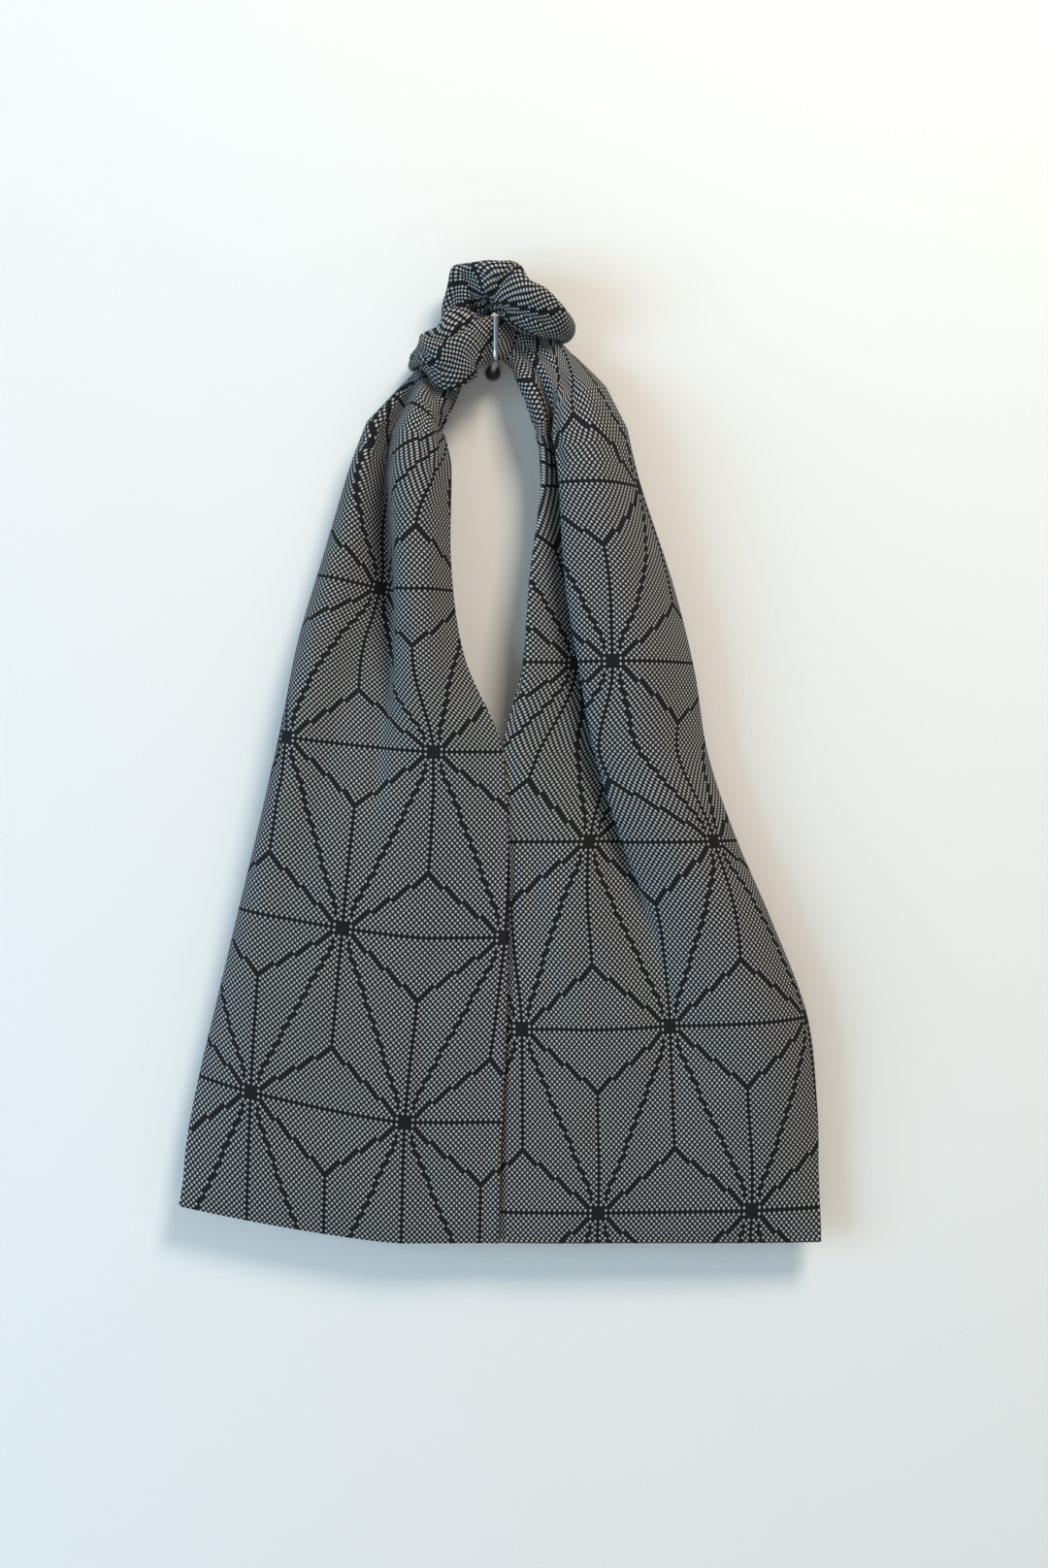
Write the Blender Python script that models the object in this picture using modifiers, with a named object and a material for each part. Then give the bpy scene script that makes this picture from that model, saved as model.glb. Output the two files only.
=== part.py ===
"""A knot bag hanging on a small wall hook.

The bag is two strips of cloth. Each strip is folded lengthwise, so that its fold is the bag's
outer side and its two long edges meet the other strip's along the centre seams. Above the seams
each strip gathers into a handle, and the two handles are tied in a knot that lies on the hook.

Frame: metres, +Z up, +X to the viewer's right, +Y into the wall. The origin is the centre of the
hook collar's back face, on the wall. The tables are in millimetres, and give each point's place
across (x), its distance out from the wall (out, along -Y) and its height (z).
"""

import math

import bmesh
import bpy
import numpy as np

MM = 0.001

# Driving dimensions, in millimetres.
CLOTH = 1.3            # thickness of the cloth as modelled
WIRE = 2.6             # diameter of the hook's wire
COLLAR = 8.0           # diameter of the hook's wall collar
COLLAR_DEEP = 3.0      # how far the collar stands out from the wall
GAP = 0.3              # space left between pieces that touch
ARM = 34.0             # how far the hook reaches out from the wall
ARM_DRIFT = 2.0        # how far across the arm's outer end stands from its collar
STUB = 2.0             # straight start of the arm at its collar
PRONG = 22.2           # height of the hook's tip above its arm
BEND = 5.0             # radius of the hook's bend
BEND_STEPS = 6         # lengths of wire that make the bend
COLLAR_ROUND = 1.0     # radius of the collar's front rim
COLLAR_TURNS = 24      # faces round the collar

# The strip's cross-section is one line of points from the front hem, across the front to the
# outer side, and along the back to the back hem. A fold keeps its place in that line all the way
# up, so STATION_AT gives the index of each named station.
STATION_AT = (0, 3, 5, 7, 9, 12, 15, 19, 24)
SECTION_POINTS = 25
SIDE_AT = 12           # the index of the outer side, half-way along the line
STEPS_PER_ROW = 2      # sections made for each row of a panel's table
STEPS_PER_TURN = 2     # sections made for each row of a rope's table

# The centre seam, front and back alike: its place across at each height, up to the mouth, above
# which the hems part.
SEAM_HEIGHTS = (-443, -411, -380, -334, -288, -240, -215, -193)
SEAM_ACROSS = (3.2, 4.2, 5.2, 7.2, 8.2, 8.2, 7.4, 5.2)
SEAM_DRAWS = 25.0      # how far from the seam the cloth follows it
SEAM_GAP = 0.5         # space left between the two strips along the seam

# Each row of a panel: height at the hem, how much higher the side is, then (x, out) at each named
# station of the front, then how far out the back lies.
# z, rise, hem, crown, edge, valley, shoulder, side, back
LEFT_PANEL = (
    (-443, 18, (3, 18), (-49, 19), (-70, 18.5), (-88, 18), (-125, 17.5), (-158, 16.5), 15),
    (-431, 18, (3, 20.5), (-49, 22), (-70, 21.5), (-88, 21), (-125, 20), (-156, 16), 12),
    (-411, 20, (4, 22), (-47, 24), (-67, 23.5), (-86, 23), (-123, 22), (-154, 15), 9),
    (-380, 22, (5, 24), (-45, 27), (-64, 26), (-83, 25), (-122, 24), (-148, 14), 7),
    (-334, 18, (7, 26), (-40, 29), (-60, 28.5), (-80, 28), (-117, 26), (-138, 14), 6),
    (-288, 14, (8, 27), (-35, 31), (-55, 30), (-76, 29), (-111, 27), (-128, 14), 6),
    (-240, 11, (8, 28), (-33, 33), (-51, 32), (-71, 29), (-104, 28), (-117, 14), 6),
    (-193, 8, (5, 28), (-31, 35), (-48, 33), (-66, 29), (-95, 28), (-107, 15), 6),
    (-148, 9, (-14, 26), (-34, 38), (-47, 34), (-56, 22), (-84, 28), (-98, 15), 6),
    (-103, 8, (-21, 25), (-35, 41), (-45, 36), (-50, 14), (-73, 29), (-85, 15), 6),
    (-56, 4, (-21, 24), (-35, 41), (-46, 36), (-51, 14), (-65, 28), (-72, 16), 6),
    (-37, 9, (-21, 22), (-34, 37), (-44, 33), (-48, 17), (-56, 26), (-63, 17), 8),
)

# z, rise, hem, inner, tuck, edge, crown, side, back
RIGHT_PANEL = (
    (-443, 0, (3.3, 18), (33, 19), (63, 18.5), (76, 18.5), (120, 18), (165, 16.5), 15),
    (-431, 1, (3.3, 20.5), (40, 22), (66, 21.5), (82, 21.5), (123, 21.5), (165, 16), 11.5),
    (-411, 4, (4.3, 22), (53, 25), (84, 24), (100, 24), (131, 24), (164.5, 15), 8.5),
    (-380, 4, (5.3, 24), (54, 27), (89, 25), (102, 26), (135, 27), (164, 15), 7),
    (-334, 5, (7.3, 26), (52, 30), (87, 26), (101, 28), (133, 31), (159, 15), 6),
    (-285, 4, (8.3, 27), (41, 30), (76, 23), (87, 28), (116, 33), (141, 15), 6),
    (-237, 0, (8.3, 28), (35, 29), (62, 19), (66, 28), (94, 35), (122, 15), 6),
    (-195, 0, (5.3, 28), (26, 28), (53, 15), (52, 32), (79, 38), (108, 15), 6),
    (-153, 0, (15, 26), (26, 28), (47, 14), (44, 34), (71, 41), (101, 16), 6),
    (-109, 0, (19, 23), (26, 26), (41, 13), (37, 36), (62, 42), (90, 16), 6),
    (-60, 0, (25, 20), (29, 23), (37, 13), (34, 35), (52, 42), (74, 17), 6),
    (-36, 5, (20.5, 19), (24.5, 23), (32, 16), (31, 32), (47, 39), (67, 18), 8),
)

# The tied part of each strip, as a soft rope: its centre, its width, its thickness away from
# the wall, and how deep its lengthwise creases are, as a share of the half thickness.
# x, out, z, wide, thick, crease
LEFT_ROPE = (
    (-37.5, 19.5, -23, 31, 22, 0.35),
    (-27.5, 15.5, -12, 19, 13, 0.30),
    (-23.5, 13, 0, 20, 11, 0.20),
    (-20, 12, 11, 22, 10, 0.25),
    (-17, 12.5, 22, 23, 10, 0.35),
    (-12, 16, 33, 23, 12, 0.35),
    (-2, 24, 39.5, 24, 14, 0.25),
    (9, 29, 34.5, 25, 14, 0.10),
    (20, 29.5, 26.5, 27, 14, 0.05),
    (29, 25.5, 21.5, 20, 12, 0.05),
    (35.5, 15, 19.5, 12, 8, 0.05),
    (31, 5.5, 17, 12, 5, 0.05),
    (20, 4.5, 13, 12, 5, 0.00),
    (11, 4.5, 10, 8, 4, 0.00),
)
RIGHT_ROPE = (
    (39.5, 20, -20, 42, 26, 0.35),
    (31, 17.5, -7, 34, 18, 0.25),
    (24.5, 15.5, 3, 30, 12, 0.20),
    (18, 13.5, 10, 25, 11, 0.15),
    (10, 14, 14.5, 24, 10, 0.05),
    (1, 20, 14.2, 20, 10, 0.05),
    (-8, 27.5, 12.2, 26.5, 11, 0.10),
    (-17, 30, 9, 36, 13, 0.10),
    (-28, 28.5, 0, 31, 12, 0.15),
    (-37, 22, 0, 19, 9, 0.20),
    (-41.5, 12.5, 1.5, 13, 7, 0.10),
    (-37, 4.5, 4, 14, 5, 0.05),
    (-28, 4, 9, 13, 4.5, 0.00),
    (-19, 4, 14, 8, 4, 0.00),
)
CREASES = (4, 8, 18)   # the stations where creases run along the tied part
CREASE_SPREAD = 1.1    # how many stations a crease is wide
HANDLE_KEEPS = 0.8     # how much of the handle's own section the tied part starts with
RISE_FROM = 0.35       # share of the way to the side where a row starts to rise
RISE_POWER = 1.5       # how late the rise comes: 1 is even, more is nearer the side
PRESS_ROUNDS = 40      # how often the strips are pressed apart in the knot
PRESS_SHARE = 0.6      # share of the overlap that each strip yields in a round
PRESS_CLEAR = 1.3      # clearance that the pressing aims at
PRESS_REACH = 9.0      # how near a point has to be to be pressed
WALL_CLEAR = 0.8       # the least distance of the cloth from the wall
SLIT_ANGLE = 8.0       # degrees between each hem and the middle of the rope's inner edge
BACK_TURN = 0.12       # share of the width over which the side fold turns into the back
FOLD_ANGLE = 50.0      # degrees above which an edge of the cloth is shaded as a fold


def clear_scene():
    """Remove what the start-up file holds."""
    for thing in list(bpy.data.objects):
        bpy.data.objects.remove(thing)


def spline(rows, steps):
    """Smooth curve through the rows (Catmull-Rom), with this many points for each interval."""
    rows = np.asarray(rows, float)
    before = np.concatenate([2 * rows[:1] - rows[1:2], rows, 2 * rows[-1:] - rows[-2:-1]])
    found = []
    for row in range(len(rows) - 1):
        count = steps[row] if isinstance(steps, (tuple, list)) else steps
        first, second, third, fourth = before[row:row + 4]
        for step in range(count):
            t = step / count
            slope = (third - first) * t
            bend = (2 * first - 5 * second + 4 * third - fourth) * t * t
            twist = (3 * second - first - 3 * third + fourth) * t ** 3
            found.append((2 * second + slope + bend + twist) / 2)
    found.append(rows[-1])
    return np.array(found)


def panel_section(row):
    """Points (x, y, z) of one row of a panel, from the front hem round the side to the back hem."""
    height, rise, *front, back = row
    hem_x = front[0][0]
    side_x = front[-1][0]
    width = side_x - hem_x
    stations = list(front)
    stations.append((side_x - BACK_TURN * width, back))
    stations.append((hem_x + 0.5 * width, back))
    stations.append((hem_x, back))
    steps = [b - a for a, b in zip(STATION_AT, STATION_AT[1:])]
    line = spline(stations, steps)
    share = np.clip((line[:, 0] - hem_x) / width, 0, 1)
    climb = np.clip((share - RISE_FROM) / (1 - RISE_FROM), 0, 1) ** RISE_POWER
    return np.column_stack([line[:, 0], -line[:, 1], height + rise * climb])


def unit_profile(section, hem_side):
    """A panel's section centred and scaled to run from -1 to 1: across to the hem, then outward."""
    profile = np.column_stack([hem_side * section[:, 0], -section[:, 1]])
    low = profile.min(axis=0)
    high = profile.max(axis=0)
    return (profile - (low + high) / 2) / ((high - low) / 2)


def rope_sections(table, handle, hem_side):
    """Sections of the tied part: flattened ovals carried along the rope's centre line.

    hem_side is +1 or -1, the side in x that the hems face where the rope starts. The oval's axes
    turn with the rope and never spin about it. The first ovals keep part of the handle's section.
    """
    line = spline(table, STEPS_PER_TURN)
    centre = np.column_stack([line[:, 0], -line[:, 1], line[:, 2]])
    along = np.gradient(centre, axis=0)
    along /= np.linalg.norm(along, axis=1)[:, None]
    station = np.arange(SECTION_POINTS)
    slit = math.radians(SLIT_ANGLE)
    angle = slit + (2 * math.pi - 2 * slit) * station / (SECTION_POINTS - 1)
    oval = np.column_stack([np.cos(angle), np.sin(angle)])
    groove = sum(np.exp(-((station - crease) / CREASE_SPREAD) ** 2) for crease in CREASES)
    profile = unit_profile(handle, hem_side)
    across = np.array([hem_side, 0.0, 0.0])
    sections = []
    for place, direction, size, keeps in zip(
            centre, along, line[:, 3:], HANDLE_KEEPS * 0.5 ** np.arange(len(line))):
        across = across - direction * across.dot(direction)
        across /= np.linalg.norm(across)
        outward = hem_side * np.cross(across, direction)
        creased = oval * np.column_stack([np.ones_like(groove), 1 - size[2] * groove])
        shape = keeps * profile + (1 - keeps) * creased
        wide = size[0] / 2 * shape[:, 0]
        thick = size[1] / 2 * shape[:, 1]
        sections.append(place + np.outer(wide, across) + np.outer(thick, outward))
    return sections


def unit_slopes(grid, axis):
    """Direction of a grid's lines along one axis: the mean of the two unit steps at each point."""
    step = np.diff(grid, axis=axis)
    step /= np.linalg.norm(step, axis=2)[:, :, None]
    first = np.take(step, [0], axis=axis)
    last = np.take(step, [-1], axis=axis)
    before = np.concatenate([first, step], axis=axis)
    after = np.concatenate([step, last], axis=axis)
    return before + after


def surface_normals(grid):
    """Unit normals of a grid of points, rows by columns."""
    normal = np.cross(unit_slopes(grid, 1), unit_slopes(grid, 0))
    return normal / np.linalg.norm(normal, axis=2)[:, :, None]


def cloth_surface(panel, rope, hem_side):
    """The outer surface of one strip, as a grid of points: the panel's rows, then the rope's."""
    rows = [panel_section(row).ravel() for row in panel]
    lower = spline(rows, STEPS_PER_ROW).reshape(-1, SECTION_POINTS, 3)
    for section in lower:
        if section[0, 2] <= SEAM_HEIGHTS[-1]:
            seam = np.interp(section[0, 2], SEAM_HEIGHTS, SEAM_ACROSS) - hem_side * SEAM_GAP / 2
            near = np.clip(1 - np.abs(section[:, 0] - section[0, 0]) / SEAM_DRAWS, 0, 1)
            section[:, 0] += (seam - section[0, 0]) * near
    upper = np.array(rope_sections(rope, lower[-1], hem_side))
    return np.concatenate([lower, upper])


def spread(field):
    """Each value of a grid averaged with its neighbours along the rows and the columns."""
    padded = np.pad(field, ((1, 1), (1, 1), (0, 0)), mode="edge")
    along = padded[:-2, 1:-1] + padded[2:, 1:-1]
    across = padded[1:-1, :-2] + padded[1:-1, 2:]
    return (4 * field + along + across) / 8


def yielding(cloth, other, other_side):
    """How far each point of one cloth has to move to clear the other cloth.

    A point is measured against the plane of the other cloth's nearest point.
    """
    normal = -other_side * surface_normals(other).reshape(-1, 3)
    spots = other.reshape(-1, 3)
    offset = cloth.reshape(-1, 1, 3) - spots[None]
    nearest = np.argmin((offset ** 2).sum(axis=2), axis=1)
    found = np.arange(len(nearest))
    away = normal[nearest]
    clear = (offset[found, nearest] * away).sum(axis=1)
    touching = np.sqrt((offset[found, nearest] ** 2).sum(axis=1)) < PRESS_REACH
    push = np.where(touching, np.clip(PRESS_CLEAR - clear, 0, None), 0)
    return (push[:, None] * away).reshape(cloth.shape)


def press_apart(left, right, start):
    """Let the two strips and the wall flatten each other in the knot, above row start."""
    for _ in range(PRESS_ROUNDS):
        left_move = yielding(left[start:], right[start:], -1)
        right_move = yielding(right[start:], left[start:], 1)
        for cloth, move in ((left, left_move), (right, right_move)):
            cloth[start:] += spread(move) * PRESS_SHARE
            cloth[start:, :, 1] = np.minimum(cloth[start:, :, 1], -WALL_CLEAR)


def cloth_solid(name, outer, hem_side, head, collection):
    """One strip as one closed solid: a folded sheet below, gathered into a soft rope at the knot.

    Between the floor of the bag and the head row, where the knot starts, the sheet has an inner
    surface too, one cloth thickness inside, and is open between its hems.
    """
    floor = STEPS_PER_ROW
    inward = hem_side * surface_normals(outer)
    inner = (outer + inward * CLOTH)[floor:head + 1]
    count = SECTION_POINTS
    last = count - 1
    inner_start = len(outer) * count

    def out_at(row, column):
        return row * count + column

    def in_at(row, column):
        return inner_start + (row - floor) * count + column

    faces = []
    for row in range(len(outer) - 1):
        up = row + 1
        for k in range(last):
            faces.append((out_at(row, k), out_at(row, k + 1), out_at(up, k + 1), out_at(up, k)))
        if not floor <= row < head:
            below = [out_at(row, last), out_at(row, 0)]
            above = [out_at(up, 0), out_at(up, last)]
            if up == floor:
                above[1:1] = [in_at(floor, 0), in_at(floor, last)]
            if row == head:
                below[1:1] = [in_at(head, last), in_at(head, 0)]
            faces.append(below + above)
            continue
        for k in range(last):
            faces.append((in_at(row, k), in_at(up, k), in_at(up, k + 1), in_at(row, k + 1)))
        faces.append((out_at(row, 0), out_at(up, 0), in_at(up, 0), in_at(row, 0)))
        faces.append((out_at(row, last), in_at(row, last), in_at(up, last), out_at(up, last)))
    for k in range(SIDE_AT):
        far = last - k
        for at, row in ((out_at, 0), (out_at, len(outer) - 1), (in_at, floor), (in_at, head)):
            corners = [at(row, k), at(row, k + 1), at(row, far - 1), at(row, far)]
            if k + 1 == far - 1:
                corners.pop(1)
            faces.append(corners)
    points = np.concatenate([outer.reshape(-1, 3), inner.reshape(-1, 3)]) * MM
    mesh = bpy.data.meshes.new(name)
    mesh.from_pydata(points.tolist(), [], faces)
    shape = bmesh.new()
    shape.from_mesh(mesh)
    bmesh.ops.recalc_face_normals(shape, faces=shape.faces)
    shape.to_mesh(mesh)
    shape.free()
    mesh.shade_smooth()
    mesh.set_sharp_from_angle(angle=math.radians(FOLD_ANGLE))
    thing = bpy.data.objects.new(name, mesh)
    collection.objects.link(thing)
    return thing


def hook_wire(collection):
    """The hook: straight out from its collar, then bent up in front of the knot."""
    start = COLLAR_DEEP + GAP
    bend_out = ARM - BEND
    points = [(0.0, -start, 0.0), (0.0, -start - STUB, 0.0)]
    for step in range(BEND_STEPS + 1):
        turn = math.radians(90 * step / BEND_STEPS)
        out = bend_out + BEND * math.sin(turn)
        points.append((ARM_DRIFT * out / ARM, -out, BEND - BEND * math.cos(turn)))
    points.append((ARM_DRIFT, -ARM, PRONG))
    curve = bpy.data.curves.new("hook_wire", "CURVE")
    curve.dimensions = "3D"
    curve.bevel_depth = WIRE / 2 * MM
    curve.bevel_resolution = 3
    curve.use_fill_caps = True
    line = curve.splines.new("POLY")
    line.points.add(len(points) - 1)
    for point, place in zip(line.points, points):
        point.co = (place[0] * MM, place[1] * MM, place[2] * MM, 1.0)
    thing = bpy.data.objects.new("hook_wire", curve)
    collection.objects.link(thing)
    return thing


def hook_collar(collection):
    """The round collar against the wall: a turned disc with a rounded front rim."""
    radius = COLLAR / 2
    profile = [(0.0, 0.0), (radius, 0.0), (radius, COLLAR_DEEP - COLLAR_ROUND)]
    for degrees in (30, 60, 90):
        turn = math.radians(degrees)
        across = radius - COLLAR_ROUND + COLLAR_ROUND * math.cos(turn)
        profile.append((across, COLLAR_DEEP - COLLAR_ROUND + COLLAR_ROUND * math.sin(turn)))
    profile.append((0.0, COLLAR_DEEP))
    mesh = bpy.data.meshes.new("hook_collar")
    points = [(across * MM, 0.0, deep * MM) for across, deep in reversed(profile)]
    edges = [(k, k + 1) for k in range(len(points) - 1)]
    mesh.from_pydata(points, edges, [])
    thing = bpy.data.objects.new("hook_collar", mesh)
    thing.rotation_euler = (math.radians(90), 0.0, 0.0)
    turned = thing.modifiers.new("Turned", "SCREW")
    turned.axis = "Z"
    turned.angle = math.tau
    turned.steps = COLLAR_TURNS
    turned.render_steps = COLLAR_TURNS
    turned.use_merge_vertices = True
    turned.merge_threshold = 0.00005
    turned.use_smooth_shade = True
    collection.objects.link(thing)
    return thing


def finish(thing, name, colour, roughness, metallic):
    """Give the piece its own material."""
    material = bpy.data.materials.new(name)
    material.use_nodes = True
    shader = material.node_tree.nodes["Principled BSDF"]
    shader.inputs["Base Color"].default_value = (*colour, 1.0)
    shader.inputs["Roughness"].default_value = roughness
    shader.inputs["Metallic"].default_value = metallic
    thing.data.materials.append(material)


def main():
    clear_scene()
    collection = bpy.data.collections.new("knot_bag")
    bpy.context.scene.collection.children.link(collection)
    head = STEPS_PER_ROW * (len(LEFT_PANEL) - 1)
    left_cloth = cloth_surface(LEFT_PANEL, LEFT_ROPE, 1)
    right_cloth = cloth_surface(RIGHT_PANEL, RIGHT_ROPE, -1)
    press_apart(left_cloth, right_cloth, head - STEPS_PER_ROW)
    left = cloth_solid("left_panel", left_cloth, 1, head, collection)
    right = cloth_solid("right_panel", right_cloth, -1, head, collection)
    wire = hook_wire(collection)
    collar = hook_collar(collection)
    finish(left, "black cloth with white dots", (0.085, 0.10, 0.12), 0.85, 0.0)
    finish(right, "black cloth with white dots, right", (0.10, 0.10, 0.10), 0.85, 0.0)
    finish(wire, "bright steel wire", (0.55, 0.57, 0.60), 0.25, 1.0)
    finish(collar, "dark steel collar", (0.10, 0.10, 0.11), 0.35, 1.0)


main()
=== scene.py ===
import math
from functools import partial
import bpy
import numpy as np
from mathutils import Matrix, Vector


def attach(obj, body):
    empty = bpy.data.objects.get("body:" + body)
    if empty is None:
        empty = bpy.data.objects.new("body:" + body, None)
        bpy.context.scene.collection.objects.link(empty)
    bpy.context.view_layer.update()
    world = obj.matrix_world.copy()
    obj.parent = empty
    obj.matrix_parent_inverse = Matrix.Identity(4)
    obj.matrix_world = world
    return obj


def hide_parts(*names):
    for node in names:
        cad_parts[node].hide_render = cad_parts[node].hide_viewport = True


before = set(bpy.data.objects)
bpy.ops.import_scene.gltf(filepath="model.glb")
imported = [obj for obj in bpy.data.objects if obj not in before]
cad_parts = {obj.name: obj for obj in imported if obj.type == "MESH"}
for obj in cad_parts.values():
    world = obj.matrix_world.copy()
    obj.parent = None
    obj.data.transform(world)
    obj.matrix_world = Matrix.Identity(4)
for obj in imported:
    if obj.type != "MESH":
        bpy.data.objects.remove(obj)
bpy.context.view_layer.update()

# %% [markdown]
# # A knot bag on a wall hook
# The bag is two strips of dotted black cloth. Each is folded lengthwise, so that the fold is the
# bag's outer side and the two long edges meet the other strip's in the middle. Above the seams
# each strip gathers into a handle, and the handles are tied in one knot that lies on a hook.
# The solids already hang in the right place, so this lesson dresses them: it makes each strip as
# one fine sheet with its folds, lays the woven pattern along the cloth, and lights it on a wall.
# The cloth's sizes are in millimetres, and `MM` turns them into metres when a mesh is made. The
# wall, the lamps and the camera are in metres.

MM = 0.001

# %% [markdown]
# ## Smooth tables
# A hanging cloth is easiest to describe by a few rows, each a section that one could draw with a
# pencil, and a smooth curve through them. A Hermite cubic keeps every drawn point, and its slope
# at a point is that between the two neighbours.

# %% A smooth curve through a table


def smooth(at, knots, values):
    """Value at each place: between two knots, a cubic that meets both and their slopes."""
    at = np.asarray(at, float)
    knots = np.asarray(knots, float)
    values = np.asarray(values, float)
    slope = np.gradient(values, knots, axis=0)
    k = np.clip(np.searchsorted(knots, at, side="right") - 1, 0, len(knots) - 2)
    fit = (-1,) + (1,) * (values.ndim - 1)
    gap = (knots[k + 1] - knots[k]).reshape(fit)
    t = (at - knots[k]).reshape(fit) / gap
    start = (2 * t ** 3 - 3 * t ** 2 + 1) * values[k]
    leave = (t ** 3 - 2 * t ** 2 + t) * gap * slope[k]
    end = (3 * t ** 2 - 2 * t ** 3) * values[k + 1]
    arrive = (t ** 3 - t ** 2) * gap * slope[k + 1]
    return start + leave + end + arrive


print("a table's middle row comes back as", smooth([1], [0, 1, 2], [3, 5, 4]))

# %% [markdown]
# ## The two panels
# Each row of a panel's table is one level cut through the bag: the height at the hem, how much
# higher the outer side is, then (x, out) at named places across the front, and how far out the
# back lies. `out` is the distance from the wall. The front of the right panel folds under itself
# in one deep pleat, from `tuck` back to `edge`, so the row runs to the left there for a moment.

# %% The panels' tables

LEFT_PANEL = (   # z, rise, hem, crown, edge, valley, shoulder, side, back
    (-443, 18, (3, 18), (-49, 19), (-70, 18.5), (-88, 18), (-125, 17.5), (-158, 16.5), 15),
    (-431, 18, (3, 20.5), (-49, 22), (-70, 21.5), (-88, 21), (-125, 20), (-156, 16), 12),
    (-411, 20, (4, 22), (-47, 24), (-67, 23.5), (-86, 23), (-123, 22), (-154, 15), 9),
    (-380, 22, (5, 24), (-45, 27), (-64, 26), (-83, 25), (-122, 24), (-148, 14), 7),
    (-334, 18, (7, 26), (-40, 29), (-60, 28.5), (-80, 28), (-117, 26), (-138, 14), 6),
    (-288, 14, (8, 27), (-35, 31), (-55, 30), (-76, 29), (-111, 27), (-128, 14), 6),
    (-240, 11, (8, 28), (-33, 33), (-51, 32), (-71, 29), (-104, 28), (-117, 14), 6),
    (-193, 8, (5, 28), (-31, 35), (-48, 33), (-61, 25), (-95, 28), (-107, 15), 6),
    (-148, 9, (-14, 26), (-34, 38), (-47, 34), (-52, 19), (-84, 28), (-98, 15), 6),
    (-103, 8, (-21, 25), (-35, 41), (-47, 36), (-52, 13), (-72, 25), (-85, 15), 6),
    (-56, 4, (-21, 24), (-35, 41), (-48, 36), (-54, 13), (-64, 23), (-72, 16), 6),
    (-37, 9, (-21, 22), (-34, 37), (-45, 33), (-53, 14), (-58, 22), (-63, 17), 8),
)
RIGHT_PANEL = (  # z, rise, hem, inner, tuck, edge, crown, side, back
    (-443, 0, (3.3, 18), (33, 19), (63, 18.5), (76, 18.5), (120, 18), (165, 16.5), 15),
    (-431, 1, (3.3, 20.5), (40, 22), (66, 21.5), (82, 21.5), (123, 21.5), (165, 16), 11.5),
    (-411, 4, (4.3, 22), (53, 25), (84, 24), (100, 24), (131, 24), (164.5, 15), 8.5),
    (-380, 4, (5.3, 24), (54, 27), (89, 25), (102, 26), (135, 27), (164, 15), 7),
    (-334, 5, (7.3, 26), (52, 30), (87, 26), (101, 28), (133, 31), (159, 15), 6),
    (-285, 4, (8.3, 27), (41, 30), (76, 23), (87, 28), (116, 33), (141, 15), 6),
    (-237, 0, (8.3, 28), (35, 29), (68, 18), (66, 28), (94, 35), (122, 15), 6),
    (-195, 0, (5.3, 28), (26, 28), (71, 14), (52, 32), (79, 38), (108, 15), 6),
    (-153, 0, (15, 26), (26, 28), (69, 13), (44, 34), (71, 41), (101, 16), 6),
    (-109, 0, (19, 23), (26, 26), (59, 12.5), (37, 36), (62, 42), (90, 16), 6),
    (-60, 0, (25, 20), (29, 23), (48, 12.5), (34, 35), (52, 42), (74, 17), 6),
    (-36, 5, (20.5, 19), (24.5, 23), (32, 16), (31, 32), (47, 39), (67, 18), 8),
)
STATION_AT = (0, 3, 5, 7, 9, 12, 15, 19, 24)   # the named places, counted along the section
LAST_STATION = 24
SIDE_STATION = 12
BACK_TURN = 0.12        # share of the width in which the side fold turns into the back
RISE_FROM = 0.30        # share of the way to the side where a row starts to rise
RISE_POWER = 1.3
SEAM_HEIGHTS = (-443, -411, -380, -334, -288, -240, -215, -193)
SEAM_ACROSS = (3.2, 4.2, 5.2, 7.2, 8.2, 8.2, 7.4, 5.2)
SEAM_DRAWS = 25.0       # how far from the seam the cloth follows it
SEAM_GAP = 0.1          # what is left between the two strips along the seams
SEWN_SLACK = 0.5        # a row this much above the seam's top is still sewn
print("rows of the left and right panel", len(LEFT_PANEL), len(RIGHT_PANEL))

# %% A panel as a function of two parameters


def panel_points(table, hem_side, rows_at, stations_at):
    """Points of a panel: each row is a smooth curve through its stations, and so is each station
    through the rows. A row climbs by rise x (share beyond RISE_FROM) ^ RISE_POWER to the side."""
    level = np.array([row[:2] for row in table], float)
    front = np.array([row[2:-1] for row in table], float)
    back = np.array([row[-1] for row in table], float)
    hem_x = front[:, 0, 0]
    side_x = front[:, -1, 0]
    turn = np.column_stack([side_x - BACK_TURN * (side_x - hem_x), back])
    middle = np.column_stack([(hem_x + side_x) / 2, back])
    inner = np.column_stack([hem_x, back])
    stations = np.concatenate([front, turn[:, None], middle[:, None], inner[:, None]], axis=1)
    knots = np.arange(len(table))
    stations = smooth(rows_at, knots, stations)
    level = smooth(rows_at, knots, level)
    line = smooth(stations_at, STATION_AT, stations.transpose(1, 0, 2)).transpose(1, 0, 2)
    start = line[:, :1, 0]
    width = stations[:, [front.shape[1] - 1], 0] - start
    share = np.clip((line[:, :, 0] - start) / width, 0, 1)
    climb = np.clip((share - RISE_FROM) / (1 - RISE_FROM), 0, 1) ** RISE_POWER
    across = line[:, :, 0]
    height = level[:, :1] + level[:, 1:] * climb
    seam = np.interp(level[:, 0], SEAM_HEIGHTS, SEAM_ACROSS)[:, None] - hem_side * SEAM_GAP / 2
    sewn = level[:, :1] <= SEAM_HEIGHTS[-1] + SEWN_SLACK
    near = np.clip(1 - np.abs(across - start) / SEAM_DRAWS, 0, 1) * sewn
    across = across + (seam - start) * near
    return np.stack([across, -line[:, :, 1], height], axis=2), level[:, 0]


print("left hem starts at", panel_points(LEFT_PANEL, 1, [0.0], [0.0, 12.0])[0].round(1).tolist())

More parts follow.
